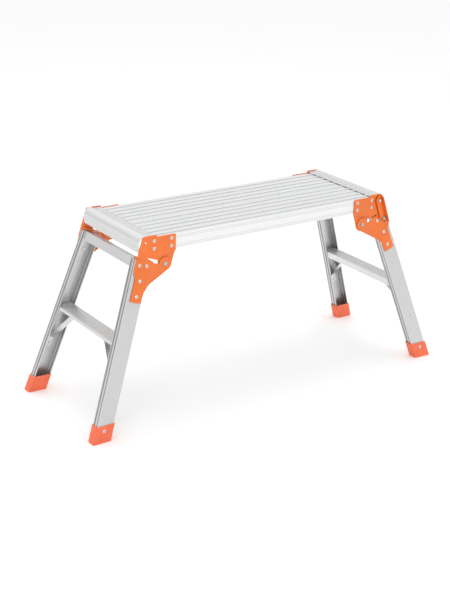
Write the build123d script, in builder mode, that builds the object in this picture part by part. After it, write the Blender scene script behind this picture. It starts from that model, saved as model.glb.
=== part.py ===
"""Folding aluminium work platform: a ribbed deck on two flared folding leg frames.

X runs along the deck to the right, Y to the rear and Z up; the origin is on the floor
under the middle of the deck.  Pieces are drawn for the front right corner and mirrored.
"""
from build123d import *
from math import acos, atan2, cos, hypot, radians, sin
import os

os.makedirs("parts", exist_ok=True)

# ---------------------------------------------------------------- driving dimensions (mm)
DECK_HALF_LENGTH = 405.0
DECK_TOP = 514.6
DECK_BOTTOM = 473.5
BRACKET_FACE = 150.0
PLATE = 2.5
DECK_SIDE = BRACKET_FACE - PLATE
LEG_TILT = 19.0
LEG_FLARE = 0.1116
FOOT_X = 548.0
STILE_TOP = 482.0
STILE_WIDTH = 46.0
STILE_DEPTH = 25.0
STILE_WALL = 1.8
TREAD_TOP = 249.0
HINGE = (326.6, 437.5)
LATCH_PIVOT = (384.2, 502.4)
CLEARANCE = 0.05
RIM = 45.0

CORNERS = {
    "front_right": (1, -1),
    "front_left": (-1, -1),
    "rear_right": (1, 1),
    "rear_left": (-1, 1),
}
LATCHED = ("front_right", "rear_left")
BOTH = (-1, 1)

RIVET_CROWN = 0.3

# ---------------------------------------------------------------- frames of reference
TILT = radians(LEG_TILT)
OUT = Vector(0, -1, 0)
ALONG = Vector(-sin(TILT), 0, cos(TILT))
ACROSS = Vector(cos(TILT), 0, sin(TILT))
DOWN_STILE = (ALONG * -1 + OUT * LEG_FLARE).normalized()
WEB_NORMAL = (OUT + ALONG * LEG_FLARE).normalized()


def side_plane(depth):
    """The side view at a distance from the centre line: x is X, y is Z, facing out."""
    return Plane(origin=(0, -depth, 0), x_dir=(1, 0, 0), z_dir=OUT)


def leg_plane(depth):
    """The leg's own side view: x runs outboard across the leg, y runs up it."""
    return Plane(origin=(FOOT_X, -depth, 0), x_dir=ACROSS, z_dir=OUT)


def leg_point(across, along, depth):
    """A point given in the leg's side view and its distance from the centre line."""
    return Vector(FOOT_X, 0, 0) + ACROSS * across + ALONG * along + OUT * depth


def web_depth(along):
    """Distance of the stile web's outer face from the centre line."""
    return DECK_SIDE + LEG_FLARE * (STILE_TOP - along)


def web_seat(across, along, lift):
    """A plane on the flared web, lifted off its outer face and facing out."""
    origin = leg_point(across, along, web_depth(along)) + WEB_NORMAL * lift
    return Plane(origin=origin, x_dir=ACROSS, z_dir=WEB_NORMAL)


def in_leg(x, z):
    """Turn a side view point into the leg's own coordinates."""
    across = (x - FOOT_X) * cos(TILT) + z * sin(TILT)
    along = (FOOT_X - x) * sin(TILT) + z * cos(TILT)
    return (across, along)


def tangent(point, centre, radius, turn):
    """Where a line from point touches a circle; turn is +1 or -1 for its two sides."""
    dx = point[0] - centre[0]
    dy = point[1] - centre[1]
    angle = atan2(dy, dx) + turn * acos(radius / hypot(dx, dy))
    return (centre[0] + radius * cos(angle), centre[1] + radius * sin(angle))


def to_rear(seat):
    """The same seat plane on the rear side."""
    origin = seat.origin
    x_dir = seat.x_dir
    z_dir = seat.z_dir
    return Plane(
        origin=(origin.X, -origin.Y, origin.Z),
        x_dir=(x_dir.X, -x_dir.Y, x_dir.Z),
        z_dir=(z_dir.X, -z_dir.Y, z_dir.Z),
    )


def to_corner(part, corner):
    """Mirror a front right part to another corner."""
    side_x, side_y = CORNERS[corner]
    if side_x < 0:
        part = mirror(part, about=Plane.YZ)
    if side_y > 0:
        part = mirror(part, about=Plane.XZ)
    return part


def save(part, label):
    """Label a finished piece and write it."""
    part.label = label
    export_step(part, "parts/" + label + ".step")


def rivet(seat, shank, grip, head=4.8, height=1.9, tail=3.6):
    """One domed blind rivet, hollow at its crown, on a plane that faces out of the plate."""
    side = Plane(origin=seat.origin, x_dir=seat.x_dir, z_dir=seat.y_dir * -1)
    crown = RIVET_CROWN * head
    with BuildPart() as piece:
        with BuildSketch(side):
            with BuildLine():
                dome = ThreePointArc((crown, height), (head * 0.7, height * 0.72), (head, 0.2))
                Polyline(
                    dome @ 1,
                    (head, 0),
                    (shank, 0),
                    (shank, -grip),
                    (tail, -grip),
                    (tail * 0.8, -grip - 1.4),
                    (0, -grip - 1.4),
                    (0, height * 0.3),
                    (crown, height * 0.3),
                    dome @ 0,
                )
            make_face()
        revolve(axis=Axis(seat.origin, seat.z_dir))
    return piece.part


def group(pieces):
    """Several separate pieces as one node."""
    with BuildPart() as together:
        add(pieces)
    return together.part


# ---------------------------------------------------------------- deck
PLANK_HALF_LENGTH = 378.0
PLANK_WALL = 1.8
RIB_HEIGHT = 1.5
RIB_WIDTH = 9.0
RIB_PITCH = 27.5
RIB_FIRST = 18.0
RIBS_PER_PLANK = 5
GROOVE = 1.2
GROOVE_OFFSET = 8.5
SIDE_GROOVES = (4.6, 10.0, 29.0, 34.0)
SEAM = 0.4
SKIRT = 24.0
LIP = 14.0

DECK_RIVET = 2.4
DECK_RIVETS = ((359.1, 504.5), (359.4, 483.6), (306.9, 503.9), (307.2, 483.2))
SCREW_ROWS = (370.5, 360.5)
SCREW_LINES = (-125.0, -28.5, 28.5, 125.0)
SCREW = 1.6


def rib_centres():
    """Distances of the raised ribs from the deck's centre line."""
    return [RIB_FIRST + RIB_PITCH * number for number in range(RIBS_PER_PLANK)]


def build_plank(side):
    """One plank, side -1 in front and 1 behind: an extruded channel with raised ribs."""
    floor_z = DECK_TOP - RIB_HEIGHT
    seam = side * SEAM
    edge = side * DECK_SIDE
    wall = side * PLANK_WALL
    with BuildPart() as plank:
        with BuildSketch(Plane.YZ.offset(-PLANK_HALF_LENGTH)):
            with BuildLine():
                Polyline(
                    (seam, floor_z - SKIRT),
                    (seam, floor_z),
                    (edge, floor_z),
                    (edge, DECK_BOTTOM),
                    (edge - side * LIP, DECK_BOTTOM),
                    (edge - side * LIP, DECK_BOTTOM + PLANK_WALL),
                    (edge - wall, DECK_BOTTOM + PLANK_WALL),
                    (edge - wall, floor_z - PLANK_WALL),
                    (seam + wall, floor_z - PLANK_WALL),
                    (seam + wall, floor_z - SKIRT),
                    close=True,
                )
            make_face()
            for centre in rib_centres():
                with Locations((side * centre, floor_z)):
                    Rectangle(RIB_WIDTH, 2 * RIB_HEIGHT)
            # a fine groove on each side of every rib, and four along the side face
            for centre in rib_centres():
                for offset_y in (-GROOVE_OFFSET, GROOVE_OFFSET):
                    with Locations((side * centre + offset_y, floor_z)):
                        Rectangle(GROOVE, GROOVE, mode=Mode.SUBTRACT)
            for height in SIDE_GROOVES:
                with Locations((edge, DECK_BOTTOM + height)):
                    Rectangle(GROOVE, GROOVE, mode=Mode.SUBTRACT)
        extrude(amount=2 * PLANK_HALF_LENGTH)
        for end in BOTH:
            for x, z in DECK_RIVETS:
                with Locations(Plane(origin=(end * x, edge, z), z_dir=(0, side, 0))):
                    Hole(radius=DECK_RIVET + CLEARANCE, depth=PLANK_WALL)
            for x in SCREW_ROWS:
                for y in (line for line in SCREW_LINES if line * side > 0):
                    with Locations(Plane(origin=(end * x, y, DECK_TOP))):
                        Hole(radius=SCREW + CLEARANCE, depth=RIB_HEIGHT + PLANK_WALL)
    return plank.part


# ---------------------------------------------------------------- end rails
RAIL_TOP = 519.5
RAIL_BOTTOM = 476.0
RAIL_CORNER = 18.5
RAIL_WALL = 2.4
RAIL_FOOT = 6.0
STRIP_TOP = 517.6
STRIP_END = 355.0
STRIP_STEP = 381.0


def build_end_rail():
    """The right end rail: a rounded extrusion across the deck end with a top strip."""
    outer = DECK_HALF_LENGTH
    inner = outer - RAIL_WALL
    with BuildPart() as rail:
        with BuildSketch(Plane.XZ.offset(DECK_SIDE)):
            with BuildLine():
                face = Line((outer, RAIL_BOTTOM + RAIL_FOOT), (outer, RAIL_TOP - RAIL_CORNER))
                corner = RadiusArc(
                    face @ 1, (outer - RAIL_CORNER, RAIL_TOP), -RAIL_CORNER
                )
                back = RadiusArc(
                    (outer - RAIL_CORNER, RAIL_TOP - RAIL_WALL),
                    (inner, RAIL_TOP - RAIL_CORNER),
                    RAIL_CORNER - RAIL_WALL,
                )
                Polyline(
                    corner @ 1,
                    (STRIP_STEP, RAIL_TOP),
                    (STRIP_STEP - 1.5, STRIP_TOP),
                    (STRIP_END + 1, STRIP_TOP),
                    (STRIP_END, STRIP_TOP - 1),
                    (STRIP_END, DECK_TOP),
                    (STRIP_STEP, DECK_TOP),
                    (STRIP_STEP + 1.5, RAIL_TOP - RAIL_WALL),
                    back @ 0,
                )
                foot = RadiusArc(face @ 0, (outer - RAIL_FOOT, RAIL_BOTTOM), RAIL_FOOT)
                Polyline(
                    back @ 1,
                    (inner, RAIL_BOTTOM + RAIL_FOOT),
                    (inner - 3, RAIL_BOTTOM + RAIL_WALL),
                    (inner - 9, RAIL_BOTTOM + RAIL_WALL),
                    (inner - 9, RAIL_BOTTOM),
                    foot @ 1,
                )
            make_face()
            # ribbing on the end face and on the strip
            for step in range(6):
                with Locations((outer, RAIL_BOTTOM + RAIL_FOOT + 1.5 + 3.4 * step)):
                    Rectangle(0.9, 0.9, mode=Mode.SUBTRACT)
            for step in range(4):
                with Locations((STRIP_END + 3.2 + 6.2 * step, STRIP_TOP)):
                    Rectangle(0.9, 1.0, mode=Mode.SUBTRACT)
        extrude(amount=-2 * DECK_SIDE)
        for x in SCREW_ROWS:
            for y in SCREW_LINES:
                with Locations(Plane(origin=(x, y, STRIP_TOP))):
                    Hole(radius=SCREW + CLEARANCE, depth=4)
    return rail.part


# ---------------------------------------------------------------- upper brackets
EAR_DEPTH = BRACKET_FACE - 5.1
EAR_RADIUS = 20.0
BEND_OUT = (350.0, 461.0)
BEND_IN = (295.0, 472.0)
FLANGE_FOOT = 485.6
FLANGE_WALL = 2.2
FLANGE_REACH = 15.5
PIN = 4.0
PIN_PLAY = 0.06
LATCH_PIN = 3.0


BRACKET_TOP = 520.0
OUTER_CORNER = 12.0


def build_upper_bracket(latched):
    """The front right deck bracket: a riveted plate, a set-in hinge ear and a flange."""
    notch_in = leg_point(-43, FLANGE_FOOT + 5.6, 0)
    notch_out = leg_point(-11.4, FLANGE_FOOT + 5.6, 0)
    foot_in = leg_point(-11.4, FLANGE_FOOT, 0)
    foot_out = leg_point(20.8, FLANGE_FOOT, 0)
    ear_out = tangent((notch_in.X, notch_in.Z), HINGE, EAR_RADIUS, -1)
    ear_in = tangent((BEND_IN[0], BEND_IN[1]), HINGE, EAR_RADIUS, 1)
    with BuildPart() as bracket:
        with BuildSketch(side_plane(DECK_SIDE)) as plate:
            with BuildLine():
                Polyline(
                    (foot_out.X, foot_out.Z),
                    (393.1, BRACKET_TOP),
                    (353, BRACKET_TOP),
                    (350.5, DECK_TOP),
                    (295, DECK_TOP),
                    (BEND_IN[0], BEND_IN[1] - 3),
                    (BEND_OUT[0], BEND_OUT[1] - 3),
                    (BEND_OUT[0], notch_in.Z + 0.9),
                    (notch_out.X, notch_out.Z),
                    (foot_in.X, foot_in.Z),
                    close=True,
                )
            make_face()
            outer = plate.vertices().filter_by_position(Axis.Y, 519, 521).sort_by(Axis.X)
            fillet(outer[-1:], radius=OUTER_CORNER)
            step = plate.vertices().filter_by_position(Axis.Y, 513, 521)
            fillet(step.filter_by_position(Axis.X, 350, 354), radius=2)
            inner = plate.vertices().filter_by_position(Axis.Y, 513, 521).sort_by(Axis.X)
            fillet(inner[:1], radius=4)
        extrude(amount=PLATE)
        with BuildSketch(side_plane(EAR_DEPTH)):
            with BuildLine():
                Polyline(
                    BEND_IN,
                    BEND_OUT,
                    (BEND_OUT[0], notch_in.Z + 0.9),
                    (notch_in.X, notch_in.Z),
                    ear_out,
                    HINGE,
                    ear_in,
                    close=True,
                )
            make_face()
            with Locations(HINGE):
                Circle(EAR_RADIUS)
        extrude(amount=PLATE)
        # the set that joins the ear to the plate
        with BuildSketch(side_plane(EAR_DEPTH)):
            with BuildLine():
                Polyline(
                    BEND_IN,
                    BEND_OUT,
                    (BEND_OUT[0], BEND_OUT[1] - 3),
                    (BEND_IN[0], BEND_IN[1] - 3),
                    close=True,
                )
            make_face()
        extrude(amount=BRACKET_FACE - EAR_DEPTH - 0.4)
        # the bearing flange that the leg bracket stands against
        with BuildSketch(leg_plane(BRACKET_FACE - FLANGE_REACH - PLATE)):
            with BuildLine():
                Polyline(
                    (-11.4, FLANGE_FOOT),
                    (20.8, FLANGE_FOOT),
                    (20.8, FLANGE_FOOT + FLANGE_WALL),
                    (-11.4, FLANGE_FOOT + FLANGE_WALL),
                    close=True,
                )
            make_face()
        extrude(amount=FLANGE_REACH + PLATE - CLEARANCE)
        for x, z in DECK_RIVETS:
            with Locations(Plane(origin=(x, -BRACKET_FACE, z), z_dir=OUT)):
                Hole(radius=DECK_RIVET + CLEARANCE, depth=PLATE)
        with Locations(Plane(origin=(HINGE[0], -BRACKET_FACE, HINGE[1]), z_dir=OUT)):
            Hole(radius=PIN + PIN_PLAY, depth=BRACKET_FACE - EAR_DEPTH)
        pivot = Plane(origin=(LATCH_PIVOT[0], -BRACKET_FACE, LATCH_PIVOT[1]), z_dir=OUT)
        with Locations(pivot):
            Hole(radius=LATCH_PIN + CLEARANCE if latched else 2.6, depth=PLATE)
    return bracket.part


# ---------------------------------------------------------------- leg brackets
EAR_CLEAR = 0.2
LOWER_EAR_RADIUS = 18.5
LOWER_FOOT = 372.5
WINDOW_FOOT = 481.5
STUD_AT = (8.2, 468.5)
STILE_RIVETS = ((-13.3, 470.5), (-3.0, 429.0), (-3.2, 388.0))
BRACKET_RIVET = 2.4
STUD = 3.0


def leg_bracket_section(along):
    """The bent plate's section across the leg at one height: flat ear, flared stile."""
    flat = DECK_SIDE + EAR_CLEAR
    flared = web_depth(along)
    origin = leg_point(0, along, 0)
    with BuildSketch(Plane(origin=origin, x_dir=ACROSS, z_dir=ALONG * -1)) as section:
        with BuildLine():
            Polyline(
                (-100, flat),
                (-38, flat),
                (-24, flared),
                (40, flared),
                (40, flared + PLATE),
                (-24, flared + PLATE),
                (-38, flat + PLATE),
                (-100, flat + PLATE),
                close=True,
            )
        make_face()
    return section.sketch


def build_leg_bracket(latched):
    """The front right leg bracket: hinge ear, flared stile plate and top flange."""
    hinge = in_leg(*HINGE)
    ear_tangent = tangent((-30, 417), hinge, LOWER_EAR_RADIUS, -1)
    top = FLANGE_FOOT - 0.4
    sections = [leg_bracket_section(along) for along in (510, 350)]
    with BuildPart() as bracket:
        with BuildSketch(leg_plane(120)) as outline:
            with BuildLine():
                Polyline(
                    (22.6, top),
                    (22.6, 449),
                    (13.4, 434),
                    (13.4, LOWER_FOOT),
                    (-19.5, LOWER_FOOT),
                    (-21.5, 402),
                    (-30, 417),
                    ear_tangent,
                    hinge,
                    (-48, WINDOW_FOOT),
                    (-31, WINDOW_FOOT),
                    (-28, top),
                    close=True,
                )
            make_face()
            foot = outline.vertices().filter_by_position(Axis.Y, 360, 380)
            fillet(foot, radius=2.5)
            waist = outline.vertices().filter_by_position(Axis.Y, 395, 450)
            fillet(waist, radius=12)
            with Locations(hinge):
                Circle(LOWER_EAR_RADIUS)
        extrude(amount=60)
        plate = loft(sections, ruled=True, mode=Mode.PRIVATE)
        add(plate, mode=Mode.INTERSECT)
        with BuildSketch(leg_plane(DECK_SIDE - FLANGE_REACH)):
            with BuildLine():
                Polyline(
                    (-28, top - FLANGE_WALL),
                    (22.6, top - FLANGE_WALL),
                    (22.6, top),
                    (-28, top),
                    close=True,
                )
            make_face()
        extrude(amount=FLANGE_REACH + 1.2)
        with Locations(Plane(origin=(HINGE[0], -BRACKET_FACE - 1, HINGE[1]), z_dir=OUT)):
            Hole(radius=PIN, depth=2 * PLATE)
        for across, along in STILE_RIVETS:
            with Locations(web_seat(across, along, PLATE)):
                Hole(radius=BRACKET_RIVET + CLEARANCE, depth=PLATE)
        bore = STUD if latched else BRACKET_RIVET
        with Locations(web_seat(*STUD_AT, PLATE)):
            Hole(radius=bore + CLEARANCE, depth=PLATE)
    return bracket.part


# ---------------------------------------------------------------- leg frames
STILE_END = 3.0
WEB_RIBS = 10
WEB_RIB_PITCH = 4.2
FLANGE_GROOVES = ((6.2, 3.4), (18.2, 6.4))
FOOT_RIVET = (1.3, 32.0)
BRACE_RIVET = (1.1, 142.7)
SMALL_RIVET = 2.0
STEP_RIVET_ALONG = in_leg(487, 243.5)[1]
RAIL_RIVET_ALONG = in_leg(412, 452)[1]
RIVET_INSET = 12.5


def flange_seat(along, inset, reach):
    """A plane on the outboard stile flange's outer face, facing away from the leg."""
    depth = web_depth(along) - inset
    origin = leg_point(STILE_WIDTH / 2 + reach, along, depth)
    return Plane(origin=origin, x_dir=OUT, z_dir=ACROSS)


def build_stile(latched):
    """The front right stile: an extruded channel that opens inward and flares out."""
    top = leg_point(0, STILE_TOP, web_depth(STILE_TOP))
    half = STILE_WIDTH / 2
    with BuildPart() as stile:
        with BuildSketch(Plane(origin=top, x_dir=ACROSS, z_dir=DOWN_STILE)):
            with BuildLine():
                Polyline(
                    (-half, 0),
                    (half, 0),
                    (half, -STILE_DEPTH),
                    (half - STILE_WALL, -STILE_DEPTH),
                    (half - STILE_WALL, -STILE_WALL),
                    (-half + STILE_WALL, -STILE_WALL),
                    (-half + STILE_WALL, -STILE_DEPTH),
                    (-half, -STILE_DEPTH),
                    close=True,
                )
            profile = make_face()
            edges = profile.vertices().filter_by_position(Axis.Y, -0.1, 0.1)
            fillet(edges, radius=1.2)
            for number in range(WEB_RIBS):
                with Locations(((number - (WEB_RIBS - 1) / 2) * WEB_RIB_PITCH, 0)):
                    Rectangle(0.9, 0.8, mode=Mode.SUBTRACT)
            for depth, width in FLANGE_GROOVES:
                with Locations((half, -depth), (-half, -depth)):
                    Rectangle(1.8, width, mode=Mode.SUBTRACT)
        extrude(amount=STILE_TOP + 40)
        split(bisect_by=Plane.XY.offset(STILE_END), keep=Keep.TOP)
        for across, along in STILE_RIVETS:
            with Locations(web_seat(across, along, 0)):
                Hole(radius=BRACKET_RIVET + CLEARANCE, depth=STILE_WALL)
        bore = STUD if latched else BRACKET_RIVET
        with Locations(web_seat(*STUD_AT, 0)):
            Hole(radius=bore + CLEARANCE, depth=STILE_WALL)
        for across, along in (FOOT_RIVET, BRACE_RIVET):
            with Locations(web_seat(across, along, 0)):
                Hole(radius=SMALL_RIVET + CLEARANCE, depth=STILE_WALL)
        for along in (STEP_RIVET_ALONG, RAIL_RIVET_ALONG):
            with Locations(flange_seat(along, RIVET_INSET, 0)):
                Hole(radius=SMALL_RIVET + CLEARANCE, depth=STILE_WALL)
    return stile.part


TREAD_WALL = 1.8
NOSING = 8.0
TREAD_LIP = 23.0
TREAD_END = 169.0
TREAD_RIBS = 6


def tread_edge(across):
    """Where the tread's top meets a line that runs along the leg."""
    along = (TREAD_TOP - across * sin(TILT)) / cos(TILT)
    point = leg_point(across, along, 0)
    return (point.X, point.Z)


def build_step():
    """The right step: a bent tread between the stiles with a nosing and a deeper lip."""
    half = STILE_WIDTH / 2 - STILE_WALL - 0.1
    outer = tread_edge(half)
    inner = tread_edge(-half)
    slope = ALONG * -1
    nose = (outer[0] + slope.X * NOSING, outer[1] + slope.Z * NOSING)
    lip = (inner[0] + slope.X * TREAD_LIP, inner[1] + slope.Z * TREAD_LIP)
    with BuildPart() as step:
        with BuildSketch(Plane.XZ.offset(TREAD_END)):
            with BuildLine():
                Polyline(nose, outer, inner, lip)
                offset(amount=TREAD_WALL, side=Side.LEFT)
            make_face()
            for number in range(TREAD_RIBS):
                x = inner[0] + (outer[0] - inner[0]) * (number + 0.7) / (TREAD_RIBS + 0.4)
                with Locations((x, TREAD_TOP)):
                    Rectangle(3.0, 1.8)
        extrude(amount=-2 * TREAD_END)
        seat = flange_seat(STEP_RIVET_ALONG, RIVET_INSET, -STILE_WALL)
        with Locations(seat, to_rear(seat)):
            Hole(radius=SMALL_RIVET + CLEARANCE, depth=2 * TREAD_WALL)
    return step.part


RAIL_END = 145.6
CROSS_RAIL_TALL = 24.0
CROSS_RAIL_DEEP = 27.0
CROSS_RAIL_WALL = 1.8


def build_cross_rail():
    """The right leg frame's top rail: a ribbed face with a flange turned inboard."""
    face = STILE_WIDTH / 2 - STILE_WALL - 0.1
    top = STILE_TOP - 0.6
    with BuildPart() as rail:
        with BuildSketch(leg_plane(-RAIL_END)):
            with BuildLine():
                Polyline(
                    (face, top),
                    (face - CROSS_RAIL_DEEP, top),
                    (face - CROSS_RAIL_DEEP, top - 5),
                    (face - CROSS_RAIL_DEEP + CROSS_RAIL_WALL, top - 5),
                    (face - CROSS_RAIL_DEEP + CROSS_RAIL_WALL, top - CROSS_RAIL_WALL),
                    (face - CROSS_RAIL_WALL, top - CROSS_RAIL_WALL),
                    (face - CROSS_RAIL_WALL, top - CROSS_RAIL_TALL),
                    (face, top - CROSS_RAIL_TALL),
                    close=True,
                )
            make_face()
            for step in range(5):
                with Locations((face, top - 4 - 4 * step)):
                    Rectangle(0.9, 0.9, mode=Mode.SUBTRACT)
        extrude(amount=2 * RAIL_END)
        seat = flange_seat(RAIL_RIVET_ALONG, RIVET_INSET, -STILE_WALL)
        with Locations(seat, to_rear(seat)):
            Hole(radius=SMALL_RIVET + CLEARANCE, depth=2 * CROSS_RAIL_WALL)
    return rail.part


BRACE_WALL = 2.0
BRACE_HALF_WIDTH = 9.75
BRACE_SET = 3.0
BRACE_FOOT = 133.0
BRACE_BEND = 161.0
BRACE_CORNER = 8.5


def build_brace():
    """The front right step brace: a strip from the stile web up to the tread."""
    inside = -STILE_WALL - 0.1
    foot = (web_depth(BRACE_FOOT) + inside, BRACE_FOOT)
    bend = (web_depth(BRACE_BEND) + inside, BRACE_BEND)
    head = (bend[0] - 110, BRACE_BEND + 110)
    origin = leg_point(BRACE_SET, 0, 0)
    with BuildPart() as brace:
        with BuildSketch(Plane(origin=origin, x_dir=OUT, z_dir=ACROSS * -1)):
            with BuildLine():
                Polyline(foot, bend, head)
                offset(amount=BRACE_WALL, side=Side.LEFT)
            make_face()
        extrude(amount=BRACE_HALF_WIDTH, both=True)
        ends = brace.edges().filter_by(lambda edge: abs(edge.length - BRACE_WALL) < 0.01)
        fillet(ends.sort_by(Axis.Z)[:2], radius=BRACE_CORNER)
        split(bisect_by=Plane.XY.offset(TREAD_TOP - TREAD_WALL - 0.05), keep=Keep.BOTTOM)
        with Locations(web_seat(*BRACE_RIVET, 0)):
            Hole(radius=SMALL_RIVET + CLEARANCE, depth=3 * STILE_WALL)
    return brace.part


# ---------------------------------------------------------------- feet
BOOT_WALL = 2.5
BOOT_SOLE = 2.6


def build_foot():
    """The front right foot: a moulded boot that takes the stile's end."""
    half = STILE_WIDTH / 2 + BOOT_WALL
    start = leg_point(0, 60, web_depth(60))
    section = Plane(origin=start, x_dir=ACROSS, z_dir=DOWN_STILE)
    with BuildPart() as pocket:
        with BuildSketch(section):
            with Locations((0, -STILE_DEPTH / 2)):
                Rectangle(STILE_WIDTH + 0.1, STILE_DEPTH + 0.1)
        extrude(amount=100)
        split(bisect_by=Plane.XY.offset(BOOT_SOLE), keep=Keep.TOP)
    with BuildPart() as foot:
        with BuildSketch(section):
            with Locations((0, -STILE_DEPTH / 2)):
                RectangleRounded(2 * half, STILE_DEPTH + 2 * BOOT_WALL, 3.0)
        extrude(amount=100)
        split(bisect_by=Plane.XY, keep=Keep.TOP)
        split(bisect_by=Plane.XY.offset(RIM), keep=Keep.BOTTOM)
        add(pocket.part, mode=Mode.SUBTRACT)
        with Locations(web_seat(*FOOT_RIVET, BOOT_WALL)):
            Hole(radius=SMALL_RIVET + CLEARANCE, depth=BOOT_WALL)
    return foot.part


# ---------------------------------------------------------------- latches
LATCH_FACE = 153.3
LATCH_WALL = 2.0
LATCH_INNER = -4.5
LATCH_OUTER = 15.0
LATCH_FOOT = 455.6
LATCH_HEAD = 543.0
NOTCH_ABOVE = 1.2
NOTCH_BELOW = 5.0
LATCH_FLANGE = 11.5


def build_latch():
    """The front right latch: a flanged plate whose notch holds the leg's stud."""
    notch_top = STUD_AT[1] + STUD + NOTCH_ABOVE
    notch_foot = STUD_AT[1] - STUD - NOTCH_BELOW
    notch_end = STUD_AT[0] + STUD + 0.4
    lip = STUD_AT[0] - 0.5
    with BuildPart() as latch:
        with BuildSketch(leg_plane(LATCH_FACE)):
            with BuildLine():
                Polyline(
                    (LATCH_OUTER, LATCH_FOOT),
                    (LATCH_OUTER, LATCH_HEAD - 3),
                    (LATCH_INNER + 13, LATCH_HEAD),
                    (LATCH_INNER, LATCH_HEAD - 8),
                    (LATCH_INNER, notch_top),
                    (notch_end, notch_top),
                    (notch_end, notch_foot),
                    (lip, notch_foot),
                    (lip, LATCH_FOOT),
                    close=True,
                )
            outline = make_face()
            head = outline.vertices().filter_by_position(Axis.Y, LATCH_HEAD - 10, LATCH_HEAD)
            fillet(head, radius=4)
            hook = outline.vertices().filter_by_position(Axis.X, lip - 0.1, lip + 0.1)
            fillet(hook, radius=1.5)
        extrude(amount=LATCH_WALL)
        with BuildSketch(leg_plane(LATCH_FACE)):
            with BuildLine():
                Polyline(
                    (LATCH_OUTER, LATCH_FOOT),
                    (LATCH_OUTER + LATCH_WALL, LATCH_FOOT + 2),
                    (LATCH_OUTER + LATCH_WALL, LATCH_HEAD - 5),
                    (LATCH_OUTER, LATCH_HEAD - 3),
                    close=True,
                )
            make_face()
        extrude(amount=LATCH_FLANGE)
        pivot = (LATCH_PIVOT[0], -LATCH_FACE - LATCH_WALL, LATCH_PIVOT[1])
        with Locations(Plane(origin=pivot, z_dir=OUT)):
            Hole(radius=LATCH_PIN + PIN_PLAY, depth=LATCH_WALL)
    return latch.part


def turned(centre, points):
    """A turned piece on an axis along Y; points are (radius, distance from mid-plane)."""
    origin = (centre[0], 0, centre[1])
    with BuildPart() as piece:
        with BuildSketch(Plane(origin=origin, x_dir=(1, 0, 0), z_dir=(0, 0, 1))):
            with BuildLine():
                Polyline([(radius, -depth) for radius, depth in points], close=True)
            make_face()
        revolve(axis=Axis(origin, (0, 1, 0)))
    return piece.part


def build_latch_pivot():
    """The front right latch pivot: a shouldered pin riveted through the deck bracket."""
    shoulder = LATCH_FACE - 0.2
    cap = LATCH_FACE + LATCH_WALL + 0.2
    points = (
        (0, DECK_SIDE - 2.5),
        (4.8, DECK_SIDE - 2.2),
        (5.0, DECK_SIDE),
        (LATCH_PIN, DECK_SIDE),
        (LATCH_PIN, BRACKET_FACE),
        (5.6, BRACKET_FACE),
        (5.6, shoulder),
        (LATCH_PIN, shoulder),
        (LATCH_PIN, cap),
        (5.2, cap),
        (5.0, cap + 1.4),
        (3.2, cap + 2.0),
        (0, cap + 2.0),
    )
    return turned(LATCH_PIVOT, points)


def build_hinge_pin():
    """The front right hinge pin, headed on both sides of the two bracket ears."""
    outside = DECK_SIDE + EAR_CLEAR + PLATE
    inside = EAR_DEPTH - 0.12
    points = (
        (0, inside - 1.8),
        (5.8, inside - 1.8),
        (6.2, inside - 1.4),
        (6.2, inside),
        (PIN, inside),
        (PIN, outside),
        (5.8, outside),
        (5.8, outside + 1.2),
        (5.3, outside + 1.7),
        (0, outside + 1.7),
    )
    return turned(HINGE, points)


def build_latch_stud():
    """The headed stud on the right leg's front bracket, which the latch hooks over."""
    seat = web_seat(*STUD_AT, PLATE)
    side = Plane(origin=seat.origin, x_dir=seat.x_dir, z_dir=seat.y_dir * -1)
    grip = PLATE + STILE_WALL
    with BuildPart() as stud:
        with BuildSketch(side):
            with BuildLine():
                Polyline(
                    (0, -grip - 1.6),
                    (4.6, -grip - 1.4),
                    (4.8, -grip),
                    (STUD, -grip),
                    (STUD, 4.9),
                    (5.5, 4.9),
                    (5.5, 6.0),
                    (4.4, 6.9),
                    (0, 6.9),
                    close=True,
                )
            make_face()
        revolve(axis=Axis(seat.origin, seat.z_dir))
    return stud.part


# ---------------------------------------------------------------- rivet groups
def build_deck_rivets():
    """The sixteen rivets that hold the deck brackets to the planks."""
    seats = [Plane(origin=(x, -BRACKET_FACE, z), z_dir=OUT) for x, z in DECK_RIVETS]
    corner = group([rivet(seat, DECK_RIVET, PLATE + PLANK_WALL) for seat in seats])
    return group([to_corner(corner, name) for name in CORNERS])


def build_end_rail_screws():
    """The small rivets through both end rail strips into the planks."""
    grip = STRIP_TOP - DECK_TOP + RIB_HEIGHT + PLANK_WALL
    seats = [Plane(origin=(x, y, STRIP_TOP)) for x in SCREW_ROWS for y in SCREW_LINES]
    row = group([rivet(seat, SCREW, grip, head=2.9, height=1.1, tail=2.4) for seat in seats])
    return group([row, row.rotate(Axis.Z, 180)])


def build_leg_rivets(positions, lift, shank, rear_only=()):
    """A leg frame's web rivets, front and rear alike, with any that the rear adds."""
    seats = [web_seat(*position, lift) for position in positions]
    extra = [web_seat(*position, lift) for position in rear_only]
    planes = seats + [to_rear(seat) for seat in seats + extra]
    return group([rivet(plane, shank, lift + STILE_WALL) for plane in planes])


def build_small_rivets(seat, grip):
    """A pair of small rivets, one in front and one behind."""
    planes = (seat, to_rear(seat))
    return group([rivet(plane, SMALL_RIVET, grip, head=3.8, height=1.6) for plane in planes])


# ---------------------------------------------------------------- assembly
save(build_plank(-1), "deck_plank_front")
save(build_plank(1), "deck_plank_rear")
end_rail = build_end_rail()
save(end_rail, "end_rail_right")
save(end_rail.rotate(Axis.Z, 180), "end_rail_left")
save(build_deck_rivets(), "deck_bracket_rivets")
save(build_end_rail_screws(), "end_rail_screws")

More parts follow.
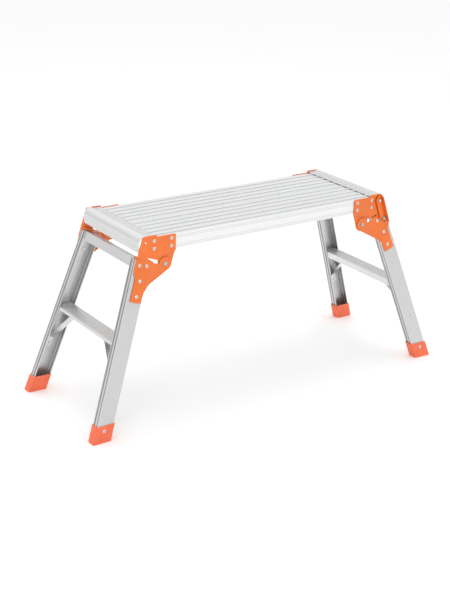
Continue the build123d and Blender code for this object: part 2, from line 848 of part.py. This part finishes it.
for corner in CORNERS:
    latched = corner in LATCHED
    save(to_corner(build_upper_bracket(latched), corner), "deck_bracket_" + corner)
    save(to_corner(build_leg_bracket(latched), corner), "leg_bracket_" + corner)
    save(to_corner(build_stile(latched), corner), "stile_" + corner)
    save(to_corner(build_brace(), corner), "step_brace_" + corner)
    save(to_corner(build_foot(), corner), "foot_" + corner)
    save(to_corner(build_hinge_pin(), corner), "hinge_pin_" + corner)
    if latched:
        save(to_corner(build_latch(), corner), "latch_" + corner)
        save(to_corner(build_latch_pivot(), corner), "latch_pivot_" + corner)
        save(to_corner(build_latch_stud(), corner), "latch_stud_" + corner)

LEG_PIECES = {
    "step": build_step(),
    "cross_rail": build_cross_rail(),
    "leg_bracket_rivets": build_leg_rivets(STILE_RIVETS, PLATE, BRACKET_RIVET, [STUD_AT]),
    "foot_rivets": build_leg_rivets([FOOT_RIVET], BOOT_WALL, SMALL_RIVET),
    "brace_rivets": build_small_rivets(
        web_seat(*BRACE_RIVET, 0), STILE_WALL + BRACE_WALL + 0.1
    ),
    "step_rivets": build_small_rivets(
        flange_seat(STEP_RIVET_ALONG, RIVET_INSET, 0), STILE_WALL + TREAD_WALL + 0.1
    ),
    "cross_rail_rivets": build_small_rivets(
        flange_seat(RAIL_RIVET_ALONG, RIVET_INSET, 0), STILE_WALL + CROSS_RAIL_WALL + 0.1
    ),
}
for name, piece in LEG_PIECES.items():
    save(piece, name + "_right")
    save(piece.rotate(Axis.Z, 180), name + "_left")
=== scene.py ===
"""Looks of the folding work platform: materials, softened edges, floor, light and camera."""
import math

import bpy
from mathutils import Matrix, Vector

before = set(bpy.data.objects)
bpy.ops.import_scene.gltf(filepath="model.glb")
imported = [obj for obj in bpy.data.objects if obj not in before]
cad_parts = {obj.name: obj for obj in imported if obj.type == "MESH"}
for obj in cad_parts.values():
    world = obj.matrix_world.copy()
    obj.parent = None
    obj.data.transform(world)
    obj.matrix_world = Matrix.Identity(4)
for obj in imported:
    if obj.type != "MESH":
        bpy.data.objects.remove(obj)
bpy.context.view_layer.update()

# ---------------------------------------------------------------- materials
LEG_TILT = math.radians(19.0)
LEG_FLARE = 0.1116
FOOT_X = 0.548
STILE_TOP = 0.482
WEB_AT_TOP = 0.1475
FLANGE_GROOVES = ((0.0062, 0.0034), (0.0182, 0.0064))
GROOVE_SOFTNESS = 0.0004
CREASE_REACH = 0.006
LINE_RELIEF = 0.00008
PEEL_RELIEF = 0.00012
PIT_RELIEF = 0.00025
GRAIN_RELIEF = 0.00006
PAINT_HIGHLIGHT_EDGE = 0.0012
RIM_HIGHLIGHT_EDGE = 0.0022


def scaled(colour, factor):
    """A colour made lighter or darker, with its alpha."""
    return tuple(channel * factor for channel in colour) + (1.0,)


class Graph:
    """A short way to write one material's nodes."""

    def __init__(self, name):
        self.material = bpy.data.materials.new(name)
        self.material.use_nodes = True
        self.nodes = self.material.node_tree.nodes
        self.links = self.material.node_tree.links
        self.shader = self.nodes["Principled BSDF"]
        self.coords = self.add("ShaderNodeTexCoord").outputs["Object"]

    def add(self, kind, inputs=None, **settings):
        """A node with its settings, and with values or links for its inputs."""
        node = self.nodes.new(kind)
        for name, value in settings.items():
            setattr(node, name, value)
        for name, value in (inputs or {}).items():
            self.put(node.inputs[name], value)
        return node

    def put(self, socket, value):
        """Link an output to a socket, or set the socket's own value."""
        if isinstance(value, bpy.types.NodeSocket):
            self.links.new(value, socket)
        else:
            socket.default_value = value

    def stretched(self, scale, turn=0.0):
        """Object coordinates turned about Y and scaled along each axis."""
        inputs = {"Vector": self.coords, "Scale": scale, "Rotation": (0.0, turn, 0.0)}
        return self.add("ShaderNodeMapping", inputs).outputs["Vector"]

    def noise(self, vector, scale, detail=3.0, roughness=0.55):
        """A noise value over the given coordinates."""
        inputs = {"Vector": vector, "Scale": scale, "Detail": detail, "Roughness": roughness}
        return self.add("ShaderNodeTexNoise", inputs).outputs["Fac"]

    def spread(self, value, low, high, start=0.3, end=0.7):
        """Map a value from start..end to low..high."""
        inputs = {"Value": value, "From Min": start, "From Max": end}
        inputs.update({"To Min": low, "To Max": high})
        return self.add("ShaderNodeMapRange", inputs).outputs["Result"]

    def blend(self, factor, first, second):
        """Mix two colours."""
        node = self.add("ShaderNodeMix", data_type="RGBA")
        self.put(node.inputs[0], factor)
        self.put(node.inputs[6], first)
        self.put(node.inputs[7], second)
        return node.outputs[2]

    def multiply(self, first, second):
        """Multiply two values."""
        node = self.add("ShaderNodeMath", operation="MULTIPLY")
        self.put(node.inputs[0], first)
        self.put(node.inputs[1], second)
        return node.outputs[0]

    def channel_depth(self):
        """Distance in from the stile web's outer face, the same on all four flared stiles."""
        mirrored = self.add("ShaderNodeVectorMath", operation="ABSOLUTE")
        self.put(mirrored.inputs[0], self.coords)
        slope = (LEG_FLARE * math.sin(LEG_TILT), -1.0, -LEG_FLARE * math.cos(LEG_TILT))
        fall = self.add("ShaderNodeVectorMath", operation="DOT_PRODUCT")
        self.put(fall.inputs[0], mirrored.outputs[0])
        self.put(fall.inputs[1], slope)
        level = WEB_AT_TOP + LEG_FLARE * (STILE_TOP - FOOT_X * math.sin(LEG_TILT))
        node = self.add("ShaderNodeMath", operation="ADD")
        self.put(node.inputs[0], fall.outputs["Value"])
        self.put(node.inputs[1], level)
        return node.outputs[0]

    def band(self, value, centre, width):
        """A value of 1 inside a band about a centre, with soft ends."""
        offset = self.add("ShaderNodeMath", operation="SUBTRACT")
        self.put(offset.inputs[0], value)
        self.put(offset.inputs[1], centre)
        size = self.add("ShaderNodeMath", operation="ABSOLUTE")
        self.put(size.inputs[0], offset.outputs[0])
        start = width / 2 - GROOVE_SOFTNESS
        return self.spread(size.outputs[0], 1.0, 0.0, start, width / 2 + GROOVE_SOFTNESS)

    def crease(self):
        """A value near 1 in creases and under overlaps, and 0 in the open; it masks the painted
        shade.
        """
        inputs = {"Distance": CREASE_REACH}
        node = self.add("ShaderNodeAmbientOcclusion", inputs, samples=8)
        return self.spread(node.outputs["AO"], 1.0, 0.0, 0.25, 0.95)

    def edge(self, radius):
        """A value near 1 along edges, found where a rounded normal leaves the true one; it masks
        the painted edge highlights.
        """
        rounded = self.add("ShaderNodeBevel", {"Radius": radius}, samples=6).outputs[0]
        true = self.add("ShaderNodeNewGeometry").outputs["True Normal"]
        node = self.add("ShaderNodeVectorMath", operation="DOT_PRODUCT")
        self.put(node.inputs[0], rounded)
        self.put(node.inputs[1], true)
        return self.spread(node.outputs["Value"], 1.0, 0.0, 0.80, 0.985)

    def bump(self, height, distance, strength=1.0):
        """Give the shader a bump from a height."""
        inputs = {"Height": height, "Distance": distance, "Strength": strength}
        self.put(self.shader.inputs["Normal"], self.add("ShaderNodeBump", inputs).outputs[0])


def aluminium(name, colour, scale, turn, rough=0.34, grooved=False):
    """Mill-finish extrusion: die lines along the length, faint clouding, painted shade in
    creases and painted shade and dark reflection in the flange grooves.
    """
    graph = Graph(name)
    lines = graph.noise(graph.stretched(scale, turn), 1.0, 4.0, 0.7)
    clouds = graph.noise(graph.coords, 9.0, 4.0)
    base = graph.blend(graph.spread(lines, 0.0, 1.0), scaled(colour, 0.90), scaled(colour, 1.0))
    base = graph.blend(graph.spread(clouds, 0.0, 0.5), base, scaled(colour, 0.93))
    # Painted shade: the colour darkens in creases and under overlaps, where shade falls.
    painted_shade = scaled(colour, 0.42)
    base = graph.blend(graph.multiply(graph.crease(), 0.45), base, painted_shade)
    # Painted shade and dark reflection: the two flange grooves are darkened in the colour.
    if grooved:
        depth = graph.channel_depth()
        for centre, width in FLANGE_GROOVES:
            groove = graph.band(depth, centre, width)
            base = graph.blend(graph.multiply(groove, 0.85), base, painted_shade)
    graph.put(graph.shader.inputs["Base Color"], base)
    graph.shader.inputs["Metallic"].default_value = 0.82
    tone = graph.spread(lines, rough - 0.05, rough + 0.07)
    graph.put(graph.shader.inputs["Roughness"], tone)
    graph.bump(lines, LINE_RELIEF, 0.6)
    return graph.material


def paint(name, colour, highlight_colour):
    """Powder coat: fine orange peel, slight tone drift, a patchy painted highlight along outer
    edges and painted shade in creases.
    """
    graph = Graph(name)
    peel = graph.noise(graph.coords, 900.0, 2.0)
    drift = graph.noise(graph.coords, 14.0, 3.0)
    base = graph.blend(graph.spread(drift, 0.0, 1.0), scaled(colour, 0.86), scaled(colour, 1.0))
    # Painted highlight: outer edges are lightened to a brighter orange in patches, where light
    # catches them.
    highlight_patches = graph.noise(graph.coords, 240.0, 3.0)
    patchy = graph.spread(highlight_patches, 0.1, 1.0, 0.42, 0.62)
    painted_highlight = graph.multiply(graph.edge(PAINT_HIGHLIGHT_EDGE), patchy)
    base = graph.blend(graph.multiply(painted_highlight, 0.55), base, scaled(highlight_colour, 1.0))
    # Painted shade: the colour darkens in creases and under overlaps, where shade falls.
    base = graph.blend(graph.multiply(graph.crease(), 0.5), base, scaled(colour, 0.35))
    graph.put(graph.shader.inputs["Base Color"], base)
    graph.put(graph.shader.inputs["Roughness"], graph.spread(peel, 0.30, 0.42))
    graph.shader.inputs["Coat Weight"].default_value = 0.25
    graph.shader.inputs["Coat Roughness"].default_value = 0.22
    graph.bump(peel, PEEL_RELIEF, 0.5)
    return graph.material


def rubber(name, colour, pale):
    """Moulded rubber: matt, finely pitted, with a painted highlight along the edges."""
    graph = Graph(name)
    pits = graph.noise(graph.coords, 650.0, 3.0)
    mottle = graph.noise(graph.coords, 42.0, 4.0)
    base = graph.blend(graph.spread(mottle, 0.0, 1.0), scaled(colour, 0.84), scaled(colour, 1.0))
    # Painted highlight: the edges are lightened towards a pale salmon, where light catches the
    # rim.
    painted_rim_highlight = graph.multiply(graph.edge(RIM_HIGHLIGHT_EDGE), graph.spread(mottle, 0.35, 1.0))
    base = graph.blend(graph.multiply(painted_rim_highlight, 0.6), base, scaled(pale, 1.0))
    graph.put(graph.shader.inputs["Base Color"], base)
    graph.put(graph.shader.inputs["Roughness"], graph.spread(pits, 0.48, 0.66))
    graph.bump(pits, PIT_RELIEF, 0.6)
    return graph.material


def steel(name, colour, rough, grain):
    """Plated steel: fine grain and mottling, with painted shade in creases."""
    graph = Graph(name)
    fine = graph.noise(graph.coords, grain, 4.0)
    mottle = graph.noise(graph.coords, 180.0, 3.0)
    base = graph.blend(graph.spread(mottle, 0.0, 1.0), scaled(colour, 1.0), scaled(colour, 0.72))
    # Painted shade: the colour darkens strongly in creases and under overlaps, where shade
    # falls.
    base = graph.blend(graph.multiply(graph.crease(), 0.8), base, scaled(colour, 0.12))
    graph.put(graph.shader.inputs["Base Color"], base)
    graph.shader.inputs["Metallic"].default_value = 1.0
    graph.put(graph.shader.inputs["Roughness"], graph.spread(fine, rough, rough + 0.14))
    graph.bump(fine, GRAIN_RELIEF, 0.5)
    return graph.material


ALONG_X = (4.0, 700.0, 700.0)
ALONG_Y = (700.0, 4.0, 700.0)
ALONG_LEG = (700.0, 700.0, 4.0)
DECK = aluminium("deck_aluminium", (0.88, 0.885, 0.89), ALONG_X, 0.0)
ACROSS = aluminium("cross_aluminium", (0.80, 0.80, 0.80), ALONG_Y, 0.0)
STILE = (0.70, 0.70, 0.70)
STILE_RIGHT = aluminium("stile_aluminium_right", STILE, ALONG_LEG, LEG_TILT, grooved=True)
STILE_LEFT = aluminium("stile_aluminium_left", STILE, ALONG_LEG, -LEG_TILT, grooved=True)
ORANGE = paint("orange_powder_coat", (0.88, 0.17, 0.012), (0.95, 0.36, 0.14))
SALMON = rubber("salmon_rubber", (0.94, 0.17, 0.075), (1.0, 0.42, 0.28))
RIVET = steel("rivet_steel", (0.82, 0.82, 0.82), 0.16, 1400.0)
PIN = steel("pin_steel", (0.58, 0.57, 0.56), 0.34, 1100.0)


PIN_EDGE = 0.0002
EXTRUDED_EDGE = 0.0003
PRESSED_EDGE = 0.0006
MOULDED_EDGE = 0.0022
FINE_BEVEL = 0.001
BEVEL_ANGLE = math.radians(30)


def finish_of(name):
    """The material and the edge softening, in metres, of a CAD node."""
    if "rivets" in name or "screws" in name or "pivot" in name:
        return RIVET, 0.0
    if name.startswith(("hinge_pin", "latch_stud")):
        return PIN, PIN_EDGE
    if name.startswith(("deck_bracket", "leg_bracket", "latch")):
        return ORANGE, PRESSED_EDGE
    if name.startswith("foot"):
        return SALMON, MOULDED_EDGE
    if name.startswith("deck_plank"):
        return DECK, EXTRUDED_EDGE
    if name.startswith("stile"):
        return (STILE_LEFT if name.endswith("left") else STILE_RIGHT), EXTRUDED_EDGE
    return ACROSS, EXTRUDED_EDGE


def soften(piece, width):
    """Round a piece's sharp edges with a bevel."""
    bevel = piece.modifiers.new("softened_edges", "BEVEL")
    bevel.width = width
    bevel.segments = 2 if width < FINE_BEVEL else 4
    bevel.limit_method = "ANGLE"
    bevel.angle_limit = BEVEL_ANGLE
    bevel.use_clamp_overlap = True
    bevel.harden_normals = False


def dress(piece, material):
    """Give every slot of a piece the same material."""
    if not piece.material_slots:
        piece.data.materials.append(material)
    for slot in piece.material_slots:
        slot.material = material


for name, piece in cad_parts.items():
    material, width = finish_of(name)
    dress(piece, material)
    if width:
        soften(piece, width)


# ---------------------------------------------------------------- floor and light
FLOOR_HALF = 60.0


def make_floor():
    """A pale floor under the object, wide enough that its edge stays out of sight."""
    mesh = bpy.data.meshes.new("floor")
    half = FLOOR_HALF
    corners = [(-half, -half, 0), (half, -half, 0), (half, half, 0), (-half, half, 0)]
    mesh.from_pydata(corners, [], [(0, 1, 2, 3)])
    floor = bpy.data.objects.new("floor", mesh)
    bpy.context.collection.objects.link(floor)
    graph = Graph("pale_floor")
    clouds = graph.noise(graph.coords, 1.5, 2.0)
    base = graph.blend(clouds, (0.92, 0.92, 0.92, 1.0), (0.94, 0.94, 0.94, 1.0))
    graph.put(graph.shader.inputs["Base Color"], base)
    graph.shader.inputs["Roughness"].default_value = 0.9
    mesh.materials.append(graph.material)


def make_light(name, place, size, power, target=(0.0, 0.0, 0.3)):
    """A soft square lamp that faces the object."""
    data = bpy.data.lights.new(name, "AREA")
    data.shape = "SQUARE"
    data.size = size
    data.energy = power
    lamp = bpy.data.objects.new(name, data)
    lamp.location = place
    away = Vector(place) - Vector(target)
    lamp.rotation_euler = away.to_track_quat("Z", "Y").to_euler()
    bpy.context.collection.objects.link(lamp)


def make_world(strength):
    """A white surround that is dimmer towards the horizon, like a studio's walls."""
    world = bpy.data.worlds.new("studio")
    world.use_nodes = True
    nodes, links = world.node_tree.nodes, world.node_tree.links
    background = nodes["Background"]
    coords = nodes.new("ShaderNodeTexCoord")
    split = nodes.new("ShaderNodeSeparateXYZ")
    fade = nodes.new("ShaderNodeMapRange")
    fade.inputs["From Min"].default_value = 0.0
    fade.inputs["From Max"].default_value = 0.75
    fade.inputs["To Min"].default_value = 0.62
    fade.inputs["To Max"].default_value = 1.12
    links.new(coords.outputs["Generated"], split.inputs[0])
    links.new(split.outputs["Z"], fade.inputs["Value"])
    links.new(fade.outputs["Result"], background.inputs["Color"])
    background.inputs["Strength"].default_value = strength
    bpy.context.scene.world = world


bpy.context.scene.view_settings.view_transform = "Standard"
make_floor()
make_world(1.0)
make_light("key", (-2.2, -2.6, 3.2), 2.4, 25.0)
make_light("top", (0.4, 0.6, 3.4), 3.0, 25.0)
make_light("right", (3.2, -1.2, 1.8), 2.0, 8.0)


# ---------------------------------------------------------------- camera
AZIMUTH = math.radians(-33.98)
ELEVATION = math.radians(21.08)
ROLL = math.radians(1.17)
CAMERA_AT = (-2.0075, -2.9235, 1.5887)
LENS = 79.7


def make_camera():
    """The camera, turned round the object and a little down, with a slight roll."""
    back = Vector(
        (
            math.sin(AZIMUTH) * math.cos(ELEVATION),
            -math.cos(AZIMUTH) * math.cos(ELEVATION),
            math.sin(ELEVATION),
        )
    )
    level = Vector((math.cos(AZIMUTH), math.sin(AZIMUTH), 0.0))
    upright = back.cross(level)
    right = level * math.cos(ROLL) + upright * math.sin(ROLL)
    up = upright * math.cos(ROLL) - level * math.sin(ROLL)
    data = bpy.data.cameras.new("camera")
    data.sensor_fit = "AUTO"
    data.sensor_width = 36.0
    data.lens = LENS
    camera = bpy.data.objects.new("camera", data)
    turn = Matrix((right, up, back)).transposed().to_4x4()
    camera.matrix_world = Matrix.Translation(CAMERA_AT) @ turn
    bpy.context.collection.objects.link(camera)
    bpy.context.scene.camera = camera


make_camera()
